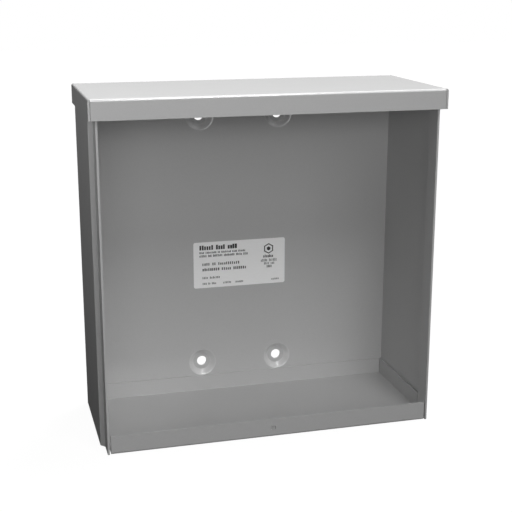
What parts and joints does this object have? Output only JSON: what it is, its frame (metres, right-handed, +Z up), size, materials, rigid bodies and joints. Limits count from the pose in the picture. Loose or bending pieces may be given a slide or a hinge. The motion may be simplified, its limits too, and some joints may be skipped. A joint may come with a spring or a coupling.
{
  "type": "meter socket enclosure",
  "caption": "Open sheet-steel wall enclosure with its cover off: back and sides in one sheet, drip cap, bottom pan, embossed mounting feet and a rating label.",
  "frame": {"origin": "centre of the four mounting holes, on the wall plane that the embossed feet touch", "axes": "+X to the right as seen from the open front, +Y into the wall (the open front faces -Y), +Z up"},
  "size_m": [0.2572, 0.1096, 0.2556],
  "materials": {
    "painted_steel": "light grey polyester powder coat, fine texture, semi-matte",
    "label_film": "pale grey printed film, satin"
  },
  "bodies": {
    "root": {"body_wrapper": "painted_steel", "drip_cap": "painted_steel", "bottom_pan": "painted_steel", "rating_label": "label_film"}
  },
  "joints": []
}
